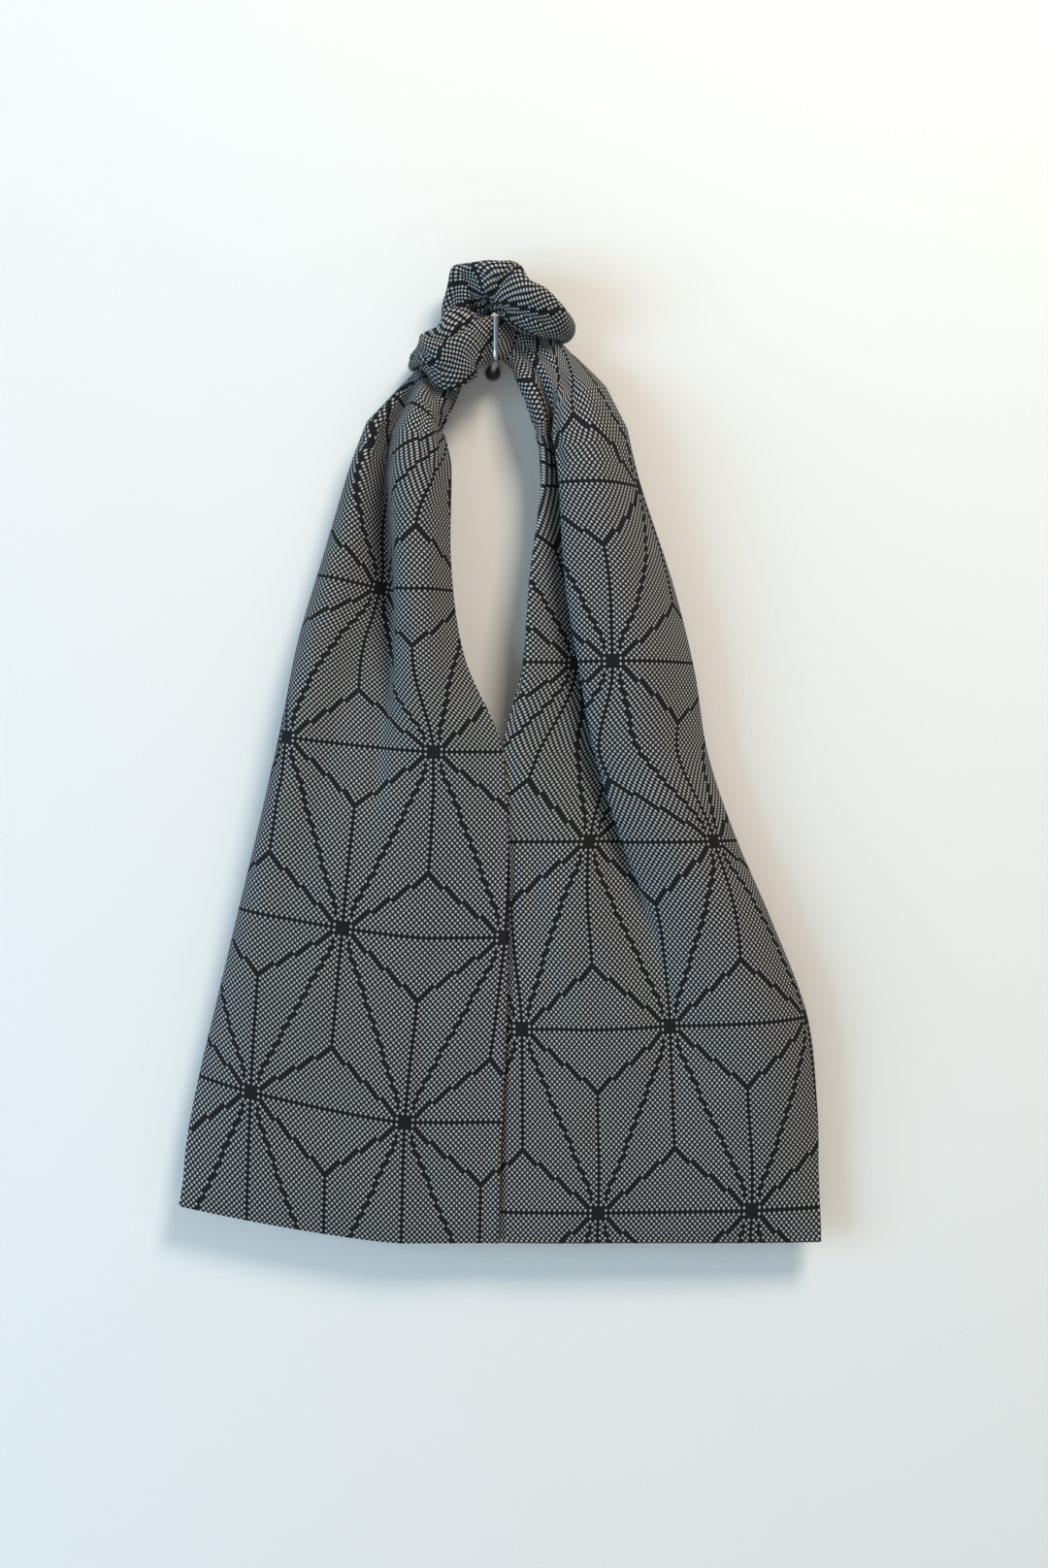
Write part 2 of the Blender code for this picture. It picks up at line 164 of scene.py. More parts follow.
# %% [markdown]
# ## The tied handles
# In the knot each handle is a soft rope. A rope is a profile carried along a path: the table gives
# the path and the size of a flattened oval there. The oval's frame is carried along without any
# spin, by taking out of the last `across` what points along the path. Near its start the oval
# still keeps part of the handle's own folded section, and pleats run along the rope as grooves.

# %% The ropes' tables

LEFT_ROPE = (    # x, out, z, wide, thick, crease
    (-37.5, 19.5, -23, 31, 22, 0.35),
    (-27.5, 15.5, -12, 19, 13, 0.30),
    (-23.5, 13, 0, 20, 11, 0.20),
    (-20, 12, 11, 22, 10, 0.25),
    (-17, 12.5, 22, 23, 10, 0.35),
    (-12, 16, 33, 23, 12, 0.35),
    (-2, 24, 39.5, 24, 14, 0.25),
    (9, 29, 34.5, 25, 14, 0.10),
    (20, 29.5, 26.5, 27, 14, 0.05),
    (29, 25.5, 21.5, 20, 12, 0.05),
    (35.5, 15, 19.5, 12, 8, 0.05),
    (31, 5.5, 17, 12, 5, 0.05),
    (20, 4.5, 13, 12, 5, 0.00),
    (11, 4.5, 10, 8, 4, 0.00),
)
RIGHT_ROPE = (   # x, out, z, wide, thick, crease
    (39.5, 20, -20, 42, 26, 0.35),
    (31, 17.5, -7, 34, 18, 0.25),
    (24.5, 15.5, 3, 30, 12, 0.20),
    (18, 13.5, 10, 25, 11, 0.15),
    (10, 14, 14.5, 24, 10, 0.05),
    (1, 20, 14.2, 20, 10, 0.05),
    (-8, 27.5, 12.2, 26.5, 11, 0.10),
    (-17, 30, 9, 36, 13, 0.10),
    (-28, 28.5, 0, 31, 12, 0.15),
    (-37, 22, 0, 19, 9, 0.20),
    (-41.5, 12.5, 1.5, 13, 7, 0.10),
    (-37, 4.5, 4, 14, 5, 0.05),
    (-28, 4, 9, 13, 4.5, 0.00),
    (-19, 4, 14, 8, 4, 0.00),
)
CREASES = (4, 8, 18)    # the stations at which pleats run along a rope
CREASE_SPREAD = 1.1     # their width, in stations
HANDLE_KEEPS = 0.8      # share of the handle's own section in a rope's first row
HANDLE_FADES = 0.25     # and what is left of that share one row further
SLIT_ANGLE = 8.0        # half the open angle between the strip's two hems
print("rows of the left and right rope", len(LEFT_ROPE), len(RIGHT_ROPE))

# %% A rope as a profile carried along a path


def carried_frames(path, across):
    """Unit vectors along the path, across it and outward: each `across` is the last one less its
    part along the path, so that the profile turns with the path and never spins about it."""
    along = np.gradient(path, axis=0)
    along /= np.linalg.norm(along, axis=1)[:, None]
    kept = []
    for direction in along:
        across = across - direction * across.dot(direction)
        across = across / np.linalg.norm(across)
        kept.append(across)
    kept = np.array(kept)
    return kept, np.cross(kept, along)


def rope_points(table, handle, hem_side, rows_at, stations_at):
    """Points of a rope: path + across x wide/2 x profile + outward x thick/2 x profile, where the
    profile is an oval with grooves, mixed with the handle's own section near the start."""
    line = smooth(rows_at, np.arange(len(table)), table)
    path = np.column_stack([line[:, 0], -line[:, 1], line[:, 2]])
    across, outward = carried_frames(path, np.array([hem_side, 0.0, 0.0]))
    outward = hem_side * outward
    slit = math.radians(SLIT_ANGLE)
    angle = slit + (math.tau - 2 * slit) * np.asarray(stations_at) / LAST_STATION
    oval = np.column_stack([np.cos(angle), np.sin(angle)])
    station = np.asarray(stations_at)[:, None]
    groove = np.exp(-((station - np.array(CREASES)) / CREASE_SPREAD) ** 2).sum(axis=1)
    profile = np.column_stack([hem_side * handle[:, 0], -handle[:, 1]])
    low, high = profile.min(axis=0), profile.max(axis=0)
    profile = (profile - (low + high) / 2) / ((high - low) / 2)
    keeps = (HANDLE_KEEPS * HANDLE_FADES ** np.asarray(rows_at))[:, None, None]
    creased = np.stack([np.broadcast_to(oval[:, 0], (len(line), len(oval))),
                        oval[:, 1] * (1 - line[:, 5:6] * groove)], axis=2)
    shape = keeps * profile + (1 - keeps) * creased
    wide = (line[:, 3:4] / 2 * shape[:, :, 0])[:, :, None] * across[:, None]
    thick = (line[:, 4:5] / 2 * shape[:, :, 1])[:, :, None] * outward[:, None]
    return path[:, None] + wide + thick


# %% [markdown]
# ## Pressing the knot
# Two soft ropes flatten each other where they cross. A full cloth simulation could do it, but it
# is slow to tie a knot with. Here each strip is a coarse net, and in every round a point that is
# too near the other net's nearest surface moves away from it, as does what touches the wall. The
# moves are then carried to the fine sheet by the same smooth curves as the tables.

# %% Normals of a net

TINY = 1e-9             # keeps a step of no length from dividing by zero


def unit_slopes(grid, axis):
    """Direction of a net's lines along one axis: the sum of the two unit steps at each point."""
    step = np.diff(grid, axis=axis)
    step /= np.maximum(np.linalg.norm(step, axis=2), TINY)[:, :, None]
    first = np.take(step, [0], axis=axis)
    last = np.take(step, [-1], axis=axis)
    return np.concatenate([first, step], axis=axis) + np.concatenate([step, last], axis=axis)


def surface_normals(grid):
    """Unit normals: the cross product of the directions along the columns and the rows."""
    normal = np.cross(unit_slopes(grid, 1), unit_slopes(grid, 0))
    return normal / np.maximum(np.linalg.norm(normal, axis=2), TINY)[:, :, None]


# %% Two nets that yield to each other

PRESS_ROUNDS = 40
PRESS_SHARE = 0.6       # share of the needed move that one round makes
PRESS_CLEAR = 1.3       # the least distance between the two nets
PRESS_REACH = 9.0       # beyond this distance nets don't touch
WALL_CLEAR = 0.8        # the least distance from the wall


def yielding(cloth, other, other_side):
    """How far each point has to move to clear the plane of the other net's nearest point."""
    normal = -other_side * surface_normals(other).reshape(-1, 3)
    spots = other.reshape(-1, 3)
    offset = cloth.reshape(-1, 1, 3) - spots[None]
    nearest = np.argmin((offset ** 2).sum(axis=2), axis=1)
    found = np.arange(len(nearest))
    clear = (offset[found, nearest] * normal[nearest]).sum(axis=1)
    touching = np.sqrt((offset[found, nearest] ** 2).sum(axis=1)) < PRESS_REACH
    push = np.where(touching, np.clip(PRESS_CLEAR - clear, 0, None), 0)
    return (push[:, None] * normal[nearest]).reshape(cloth.shape)


def spread(field):
    """Each value of a net averaged with its four neighbours, itself counted four times."""
    padded = np.pad(field, ((1, 1), (1, 1), (0, 0)), mode="edge")
    along = padded[:-2, 1:-1] + padded[2:, 1:-1]
    across = padded[1:-1, :-2] + padded[1:-1, 2:]
    return (4 * field + along + across) / 8


def press_apart(left, right):
    """The two nets after the pressing."""
    left, right = left.copy(), right.copy()
    for _ in range(PRESS_ROUNDS):
        moves = (yielding(left, right, -1), yielding(right, left, 1))
        for cloth, move in zip((left, right), moves):
            cloth += spread(move) * PRESS_SHARE
            cloth[:, :, 1] = np.minimum(cloth[:, :, 1], -WALL_CLEAR)
    return left, right


# %% One strip from its floor to its tied end

COARSE = 2              # rows of a coarse net for each row of a table
TABLE_ROWS = len(LEFT_PANEL) - 1, len(LEFT_ROPE) - 1
NET_OVERLAP = 3         # rows of the panel that the pressing still moves


def table_rows(steps):
    """Rows of the panel and of the rope, with as many steps from each table row to the next."""
    panel_steps, rope_steps = steps
    panel, rope = TABLE_ROWS
    return np.linspace(0, panel, panel * panel_steps + 1), np.linspace(0, rope, rope * rope_steps + 1)


def strip_points(panel, rope, hem_side, panel_rows, rope_rows, stations_at):
    """The panel's rows and then the rope's, with each row's height on the hem."""
    lower, heights = panel_points(panel, hem_side, panel_rows, stations_at)
    upper = rope_points(rope, lower[-1], hem_side, rope_rows, stations_at)
    return np.concatenate([lower, upper]), heights


COARSE_PANEL, COARSE_ROPE = table_rows((COARSE, COARSE))
COARSE_STATIONS = np.arange(LAST_STATION + 1)
NET_STARTS = len(COARSE_PANEL) - NET_OVERLAP
coarse = {}
for name, panel, rope, side in (("left", LEFT_PANEL, LEFT_ROPE, 1),
                                ("right", RIGHT_PANEL, RIGHT_ROPE, -1)):
    points, _ = strip_points(panel, rope, side, COARSE_PANEL, COARSE_ROPE, COARSE_STATIONS)
    coarse[name] = points[NET_STARTS:]
pressed = dict(zip(("left", "right"), press_apart(coarse["left"], coarse["right"])))
moved = {name: np.linalg.norm(pressed[name] - coarse[name], axis=2).max() for name in coarse}
print("most that the knot's nets moved, mm", {k: round(float(v), 1) for k, v in moved.items()})

# %% [markdown]
# ## Fine sheets
# The same functions are now asked for many more rows and stations, and the pressing is added.
# Cloth that hangs has broad soft troughs and ridges that no table of a few rows can hold. They
# are drawn along lines on the front, and each fades evenly to both sides of its line.

# %% How fine the sheets are

FINE = 14, 9            # rows of the sheet for each row of a panel's and of a rope's table
FRONT_POINTS = 105      # steps across the front, which needs more than the back
BACK_POINTS = 60
STATIONS_AT = np.concatenate([np.linspace(0, SIDE_STATION, FRONT_POINTS + 1)[:-1],
                              np.linspace(SIDE_STATION, LAST_STATION, BACK_POINTS)])
PANEL_ROWS, ROPE_ROWS = table_rows(FINE)
print("a sheet has", len(PANEL_ROWS) + len(ROPE_ROWS), "rows of", len(STATIONS_AT), "points")


def station_index(station):
    """Column of the fine sheet at a named place."""
    return int(np.argmin(np.abs(STATIONS_AT - station)))


# %% Soft troughs and ridges along a line


def distance_to_line(x, z, line):
    """Least distance in the plane of the wall from each point to a line of straight stretches."""
    line = np.asarray(line, float)
    best = np.full(x.shape, np.inf)
    for start, end in zip(line[:-1], line[1:]):
        step = end - start
        share = ((x - start[0]) * step[0] + (z - start[1]) * step[1]) / step.dot(step)
        share = np.clip(share, 0, 1)
        away = np.hypot(x - start[0] - share * step[0], z - start[1] - share * step[1])
        best = np.minimum(best, away)
    return best


def folds_push(points, folds):
    """The sum of depth x exp(-(distance / width)^2) over all folds, at each point."""
    x, z = points[:, :, 0], points[:, :, 2]
    return sum(depth * np.exp(-(distance_to_line(x, z, line) / width) ** 2)
               for depth, width, line in folds)


# %% The lines of the soft folds, as (x, z)

LEFT_FOLDS = (   # depth, width, line
    (-1.5, 9, ((-110, -300), (-82, -200), (-72, -150))),
    (1.2, 8, ((-90, -330), (-70, -230), (-62, -170))),
    (1.3, 2.2, ((2, -440), (4, -380), (7, -300), (7.5, -240), (5, -200))),
    (-2.0, 5, ((-58, -215), (-50, -180), (-44, -140))),
    (-1.3, 7, ((-30, -425), (-36, -360), (-28, -300))),
    (-1.2, 4, ((-36, -96), (-24, -60))),
)
RIGHT_FOLDS = (
    (-1.5, 10, ((64, -245), (84, -285), (94, -330), (113, -355))),
    (-1.2, 4, ((53, -372), (52, -392))),
    (-1.6, 1.6, ((5, -440), (6, -380), (9.5, -300), (10, -240))),
    (-1.8, 8, ((20, -225), (24, -280), (34, -330))),
    (1.2, 7, ((44, -245), (60, -300), (78, -350))),
)
print("soft folds", len(LEFT_FOLDS), len(RIGHT_FOLDS))

# %% [markdown]
# ## Pleats
# A strip is as wide in the handle as in the bag, but the handle is a third of the bag's width. On
# the real bag the rest of the cloth is gathered behind the handle's rolls, and nobody sees how.
# Folding the back like an accordion is the plainest way to hold it.

# %% Pleats that take up the rest of the strip's width

STRIP_WIDTH = 330.0     # the strip's cut width, from hem to hem
PLEATS = 3
PLEATS_FROM = 15        # the station where the back begins
PLEATS_LIMIT = 0.45     # the deepest swing, as a share of the handle's width
PLEATS_GUESS = 0.45     # and the share of it that is the first guess
PLEATS_ROOM = 0.9       # how near a pleat comes to the handle's edges
PLEATS_GROW = 6.0       # a swing this deep takes the back fully to BACK_LIES
PLEATS_END = (-38, 10)  # the height where the pleats end, and the way over which they fade
SPARE_CLOTH = 12.0      # less than this much spare width makes no pleats
BACK_EASES = (13, 2)    # the station where the back leaves the table, and over how many
BACK_LIES = (1.5, 8.0)  # how far out the first and the last layer of the back lie
DEPTH_ROUNDS = 8


def row_lengths(points):
    """Length of cloth in each row."""
    return np.linalg.norm(np.diff(points, axis=1), axis=2).sum(axis=1)


def pleated(panel, depth, hem_side):
    """The back as an accordion: x + swing x sin(tau x PLEATS x share), and out climbs evenly, so
    that its layers never meet. The swing is the depth, or what room the hem and the side's turn
    leave."""
    share = np.clip((STATIONS_AT - PLEATS_FROM) / (LAST_STATION - PLEATS_FROM), 0, 1)
    wave = np.sin(math.tau * PLEATS * share)
    across = panel[:, :, 0]
    to_hem = np.abs(across - across[:, :1])
    to_side = np.abs(across - across[:, [station_index(PLEATS_FROM)]])
    room = PLEATS_ROOM * np.where(wave > 0, to_hem, to_side)
    swing = np.minimum(depth[:, None], room) * wave * hem_side
    ease = np.clip((STATIONS_AT - BACK_EASES[0]) / BACK_EASES[1], 0, 1)
    ease = ease * np.clip(depth / PLEATS_GROW, 0, 1)[:, None]
    out = BACK_LIES[0] + (BACK_LIES[1] - BACK_LIES[0]) * share
    folded = panel.copy()
    folded[:, :, 0] += swing
    folded[:, :, 1] = (1 - ease) * panel[:, :, 1] - ease * out
    return folded


def pleated_back(points, levels, hem_side):
    """Deepen each row's pleats until the row holds the strip's width, or has no more room. A
    pleat crosses its swing four times, so it deepens by what is missing / (4 x PLEATS)."""
    rows = len(levels)
    panel = points[:rows]
    width = np.ptp(panel[:, :, 0], axis=1)
    spare = np.clip(STRIP_WIDTH - row_lengths(panel), 0, None)
    ends = np.clip((PLEATS_END[0] - levels) / PLEATS_END[1], 0, 1)
    ends = ends * np.clip((spare - SPARE_CLOTH) / SPARE_CLOTH, 0, 1)
    depth = (spare + PLEATS_GUESS * width) / (4 * PLEATS)
    for _ in range(DEPTH_ROUNDS):
        missing = STRIP_WIDTH - row_lengths(pleated(panel, depth * ends, hem_side))
        depth = np.clip(depth + missing / (4 * PLEATS), 0, PLEATS_LIMIT * width)
    points[:rows] = pleated(panel, depth * ends, hem_side)
    return points


# %% [markdown]
# ## Creases in the knot
# Pulled cloth folds in sharp lines that run away from where it is pinched, and the lobes of a
# knot have corners that no oval has. Both could be modelled layer by layer, but then layers would
# cross. Here the space round the knot is warped instead, with all the cloth in it, so what lies
# in front stays in front.

# %% A warp of the space round the knot

KNOT_FOLDS = (   # depth, width, line
    (-4.0, 2.6, ((-12, 46), (-9, 34), (-7, 23))),
    (-4.0, 2.4, ((12, 48), (3, 36), (-6, 24))),
    (2.0, 3.0, ((-2, 48), (-3, 38))),
    (-3.0, 2.2, ((6, 27), (17, 24), (27, 20))),
    (-2.2, 2.0, ((-33, 12), (-24, 10), (-14, 15))),
    (-1.8, 1.8, ((-34, 2), (-26, -4))),
    (-2.4, 2.4, ((-12, 18), (-4, 10), (-3, 2))),
    (-2.8, 2.4, ((14, 10), (24, -6), (31, -30), (35, -52))),
    (-2.2, 2.4, ((18, 10), (34, -6), (46, -24))),
    (1.8, 3.0, ((16, 8), (28, -8), (38, -26))),
    (-4.5, 3.2, ((-41, -4), (-48, -16), (-53, -40))),
    (-2.6, 2.2, ((-38, -4), (-30, -20), (-24, -34))),
    (-2.0, 2.0, ((-42, -8), (-38, -30), (-30, -56))),
    (1.6, 2.6, ((-40, -6), (-34, -26), (-27, -46))),
)
KNOT_PUSHES = (  # x, z, move in x, move in z, reach
    (-15, 44, -3.5, 5.0, 6.5),
    (11, 47, 2.5, 3.5, 6.0),
    (22, 45, -1.0, -4.0, 5.5),
    (-36, 22, 8.0, -3.0, 9.0),
    (-34, 12, -2.5, 1.0, 5.0),
    (-21, -37, -2.5, 0.0, 8.0),
    (20, -40, 2.5, 0.0, 8.0),
    (-44, 5, 4.0, 0.0, 7.0),
    (-37, -11, 1.0, 8.0, 10.0),
    (-52, -16, 3.0, 4.0, 9.0),
    (40, 12, 1.0, -3.0, 6.0),
)
CREASE_FROM = 6.0       # cloth nearer to the wall than this stays where it is
CREASE_OVER = 10.0      # and this much further out it moves in full


def creased_knot(points):
    """Warp the space round the knot. Out changes by depth x exp(-(distance / width)^2) x how far
    out the cloth is, and x and z by move x exp(-(distance / reach)^2)."""
    x, z = points[:, :, 0].copy(), points[:, :, 2].copy()
    share = np.clip((-points[:, :, 1] - CREASE_FROM) / CREASE_OVER, 0, 1)
    points[:, :, 1] -= folds_push(points, KNOT_FOLDS) * share
    for at_x, at_z, move_x, move_z, reach in KNOT_PUSHES:
        near = np.exp(-((x - at_x) ** 2 + (z - at_z) ** 2) / reach ** 2)
        points[:, :, 0] += move_x * near
        points[:, :, 2] += move_z * near
    return points


print("creases in the knot", len(KNOT_FOLDS), "corners", len(KNOT_PUSHES))

# %% [markdown]
# ## Both sheets
# All of it comes together in the order of real cloth: the strip hangs and is tied, the knot is
# pulled tight, the front folds, the back gathers, and the knot creases. Each step works on the
# cloth that the one before left.

# %% Make both sheets


def fine_strip(name, panel, rope, side, folds):
    """The fine strip: its curves + the knot's pressing - folds on the front, then the pleats and
    the knot's creases. Nothing comes nearer to the wall than WALL_CLEAR."""
    points, heights = strip_points(panel, rope, side, PANEL_ROWS, ROPE_ROWS, STATIONS_AT)
    shift = np.zeros((len(COARSE_PANEL) + len(COARSE_ROPE), LAST_STATION + 1, 3))
    shift[NET_STARTS:] = pressed[name] - coarse[name]
    rows = np.concatenate([PANEL_ROWS * COARSE, len(COARSE_PANEL) + ROPE_ROWS * COARSE])
    shift = smooth(rows, np.arange(len(shift)), shift)
    shift = smooth(STATIONS_AT, COARSE_STATIONS, shift.transpose(1, 0, 2)).transpose(1, 0, 2)
    points = points + shift
    front = np.zeros(points.shape[:2])
    front[:len(PANEL_ROWS)] = np.clip(SIDE_STATION - STATIONS_AT, 0, 1)
    points[:, :, 1] -= folds_push(points, folds) * front
    points = creased_knot(pleated_back(points, heights, side))
    points[:, :, 1] = np.minimum(points[:, :, 1], -WALL_CLEAR)
    return points, heights


left_points, left_heights = fine_strip("left", LEFT_PANEL, LEFT_ROPE, 1, LEFT_FOLDS)
right_points, right_heights = fine_strip("right", RIGHT_PANEL, RIGHT_ROPE, -1, RIGHT_FOLDS)
for name, points in (("left", left_points), ("right", right_points)):
    corners = points.reshape(-1, 3)
    print(name, "from", corners.min(axis=0).round(1), "to", corners.max(axis=0).round(1))
    print("cloth across it, from its foot up", row_lengths(points)[::25].round().tolist())

# %% [markdown]
# ## Where the pattern lies on the cloth
# The pattern is woven in, so it belongs to the cloth and not to space: it bends and hides with
# each fold. Every sheet gets a UV map whose unit is one star of the pattern. U counts stars
# across the strip, by the real length of cloth from the hem, and V counts rows of stars upward.

# %% The pattern's own sizes and how it is laid on each strip

STAR_ACROSS = 80.0      # from star to star in a row
STAR_UP = 93.0          # from row to row
ROPE_ANCHOR = 6.0       # the place in the knot's ropes from which the stars are counted
ROPE_LOOSENS = 4.0      # rows over which the handle's gathers loosen
ROPE_PACKS = 1.12       # how much closer the rows stand where the cloth is pulled tight
ROPE_SHEAR = 0.15       # how much V follows each line's own length
LEFT_LAID = (    # height at the hem, V there, U at the hem, length from star to star
    (-443, -0.66, 0.375, 79),
    (-381, 0, 0.375, 79),
    (-288, 1, 0.48, 82),
    (-195, 2, 0.55, 78),
    (-114, 3, 0.70, 80),
    (-61, 3.58, 0.78, 80),
    (-37, 3.85, 1.03, 80),
)
RIGHT_LAID = (
    (-443, -0.17, 0.35, 77.4),
    (-427, 0, 0.35, 77.4),
    (-334, 1, 0.39, 75),
    (-240, 2, 0.48, 80),
    (-150, 3, 0.12, 80),
    (-94, 3.64, 0.31, 80),
    (-61, 4, 0.615, 80),
    (-36, 4.26, 0.893, 80),
)


def along_rows(points):
    """Length of cloth from the hem to each point, along its row."""
    run = np.linalg.norm(np.diff(points, axis=1), axis=2)
    return np.concatenate([np.zeros((len(points), 1)), np.cumsum(run, axis=1)], axis=1)


def pattern_map(points, heights, laid):
    """On the panel U = U at the hem + length along the row / star, and V follows the table. In
    the knot the gathers loosen over ROPE_LOOSENS rows until U again follows the length from the
    anchor, and V grows by the way along the rope's middle, with a little of each line's own."""
    v_at, u_hem, star = smooth(heights, [row[0] for row in laid], [row[1:] for row in laid]).T
    along = along_rows(points)
    panel = along[:len(heights)]
    u_panel = u_hem[:, None] + panel / star[:, None]
    anchor = station_index(ROPE_ANCHOR)
    from_anchor = along[len(heights):] - along[len(heights):, [anchor]]
    gathered = (u_panel[-1] - u_panel[-1, anchor]) * STAR_ACROSS
    ease = np.clip(ROPE_ROWS / ROPE_LOOSENS, 0, 1)[:, None]
    u_rope = u_panel[-1, anchor] + ((1 - ease) * gathered + ease * from_anchor) / STAR_ACROSS
    rope = points[len(heights) - 1:]
    own = np.linalg.norm(np.diff(rope, axis=0), axis=2)
    middle = np.linalg.norm(np.diff(rope.mean(axis=1), axis=0), axis=1)[:, None]
    steps = ROPE_SHEAR * own + (1 - ROPE_SHEAR) * middle
    v_rope = v_at[-1] + np.cumsum(steps, axis=0) * ROPE_PACKS / STAR_UP
    v_panel = v_at[:, None] + np.zeros_like(panel)
    return np.stack([np.concatenate([u_panel, u_rope]), np.concatenate([v_panel, v_rope])], axis=2)


left_map = pattern_map(left_points, left_heights, LEFT_LAID)
right_map = pattern_map(right_points, right_heights, RIGHT_LAID)
print("stars across the left strip's foot", (left_map[0, -1, 0] - left_map[0, 0, 0]).round(2))

# %% [markdown]
# ## From a net to a mesh
# A net of rows and columns is already a mesh: each four neighbours make one face. The net is the
# cloth's outer side, and a Solidify modifier gives it its thickness inward. A second UV map
# measures from the front hem, for the sewing.

# %% A net of points into a mesh with its UV maps

CLOTH_THICK = 0.8
MM_PER_CM = 10


def placed(name, data):
    """A new object in the scene."""
    thing = bpy.data.objects.new(name, data)
    bpy.context.scene.collection.objects.link(thing)
    return thing


def add_uv(mesh, name, values, quads):
    """A UV map with one value for each point of the net, written for every corner of a face."""
    layer = mesh.uv_layers.new(name=name)
    layer.data.foreach_set("uv", values.reshape(-1, 2)[quads.ravel()].astype(np.float32).ravel())


def sheet_piece(name, points, uv, flip):
    """A piece from a net. Its UV map `cloth` counts the stars, and `hem` holds (length from the
    front hem, height) in centimetres."""
    rows, columns = points.shape[:2]
    index = np.arange(rows * columns).reshape(rows, columns)
    quads = np.stack([index[:-1, :-1], index[:-1, 1:], index[1:, 1:], index[1:, :-1]], axis=2)
    quads = quads.reshape(-1, 4)
    if flip:
        quads = quads[:, ::-1]
    mesh = bpy.data.meshes.new(name)
    mesh.from_pydata((points.reshape(-1, 3) * MM).tolist(), [], quads.tolist())
    add_uv(mesh, "cloth", uv, quads)
    place = np.stack([along_rows(points), points[:, :, 2]], axis=2) / MM_PER_CM
    add_uv(mesh, "hem", place, quads)
    mesh.shade_smooth()
    return placed(name, mesh)


left_cloth = sheet_piece("left_cloth", left_points, left_map, False)
right_cloth = sheet_piece("right_cloth", right_points, right_map, True)
for piece in (left_cloth, right_cloth):
    thick = piece.modifiers.new("Cloth thickness", "SOLIDIFY")
    thick.thickness = CLOTH_THICK * MM
    thick.offset = -1   # all of it inward, so that the net is the outer face
print("faces", len(left_cloth.data.polygons), len(right_cloth.data.polygons))

# %% [markdown]
# ## Yarn, use and sewing as shader groups
# Under the pattern the cloth has a plain weave, with fibres that stand out a little, and it has
# been washed and folded, which leaves it unevenly faded. Sewing runs near the front hem.
# Each of these is a group of its own, so that another cloth can use it. They read the UV maps,
# because the yarn runs with the cloth and the stitches keep their distance from its edge.

# %% Helpers to write a node group as sums


def new_group(name, inputs, outputs):
    """An empty shader group with named inputs and outputs, its two ends and its Math maker."""
    group = bpy.data.node_groups.new(name, "ShaderNodeTree")
    for label, kind, value in inputs:
        socket = group.interface.new_socket(name=label, in_out="INPUT", socket_type=kind)
        if value is not None:
            socket.default_value = value
    for label, kind in outputs:
        group.interface.new_socket(name=label, in_out="OUTPUT", socket_type=kind)
    ends = group.nodes.new("NodeGroupInput"), group.nodes.new("NodeGroupOutput")
    return group, *ends, partial(math_node, group)


def math_node(tree, operation, *values, clamp=False):
    """One Math node. A value is a socket or a number."""
    node = tree.nodes.new("ShaderNodeMath")
    node.operation = operation
    node.use_clamp = clamp
    for socket, value in zip(node.inputs, values):
        if isinstance(value, (int, float)):
            socket.default_value = value
        else:
            tree.links.new(value, socket)
    return node.outputs[0]


def split(tree, vector):
    """The three parts of a vector."""
    parts = tree.nodes.new("ShaderNodeSeparateXYZ")
    tree.links.new(vector, parts.inputs[0])
    return parts.outputs


def noise_node(tree, vector, scale, detail):
    """Noise with a scale and a number of finer layers."""
    noise = tree.nodes.new("ShaderNodeTexNoise")
    noise.inputs["Scale"].default_value = scale
    noise.inputs["Detail"].default_value = detail
    tree.links.new(vector, noise.inputs["Vector"])
    return noise.outputs[0]


def bump_node(tree, height, strength, distance, shader):
    """Turn a height into the shader's normal."""
    bump = tree.nodes.new("ShaderNodeBump")
    bump.inputs["Strength"].default_value = strength
    bump.inputs["Distance"].default_value = distance
    tree.links.new(height, bump.inputs["Height"])
    tree.links.new(bump.outputs[0], shader.inputs["Normal"])


def new_material(name):
    """A material with its tree and its Principled shader."""
    material = bpy.data.materials.new(name)
    material.use_nodes = True
    return material, material.node_tree, material.node_tree.nodes["Principled BSDF"]


def group_node(tree, group, vector, socket):
    """A group in a tree, with a vector linked to one of its sockets."""
    node = tree.nodes.new("ShaderNodeGroup")
    node.node_tree = group
    tree.links.new(vector, node.inputs[socket])
    return node


NUMBER, VECTOR = "NodeSocketFloat", "NodeSocketVector"

# %% Yarn, use and stitches

FIBRES = (260.0, 3.0)   # noise: how many to a star, and how many finer layers
PATCHES = (2.4, 5.0)
STITCH_SHARE = 0.72     # the part of a stitch's pitch that shows thread


def yarn_group():
    """Threads: two sets that cross, sin(tau x threads x U) and sin(tau x threads x V), and a
    little noise for the fibres. Tone is near 1, and Height is for the bump."""
    group, given, result, m = new_group(
        "yarn", [("Cloth", VECTOR, None), ("Threads", NUMBER, 120.0), ("Fibre Noise", NUMBER, 0.35)],
        [("Tone", NUMBER), ("Height", NUMBER)])
    across, up, _ = split(group, given.outputs["Cloth"])
    turns = m("MULTIPLY", given.outputs["Threads"], math.tau)
    weft = m("SINE", m("MULTIPLY", across, turns))
    warp = m("SINE", m("MULTIPLY", up, turns))
    threads = m("MULTIPLY_ADD", m("MULTIPLY", weft, warp), 0.5, 0.5)
    noise = noise_node(group, given.outputs["Cloth"], *FIBRES)
    uneven = m("SUBTRACT", noise, 0.5)
    fibre = m("MULTIPLY", uneven, given.outputs["Fibre Noise"])
    group.links.new(m("ADD", fibre, 1.0), result.inputs["Tone"])
    group.links.new(m("ADD", threads, fibre), result.inputs["Height"])
    return group


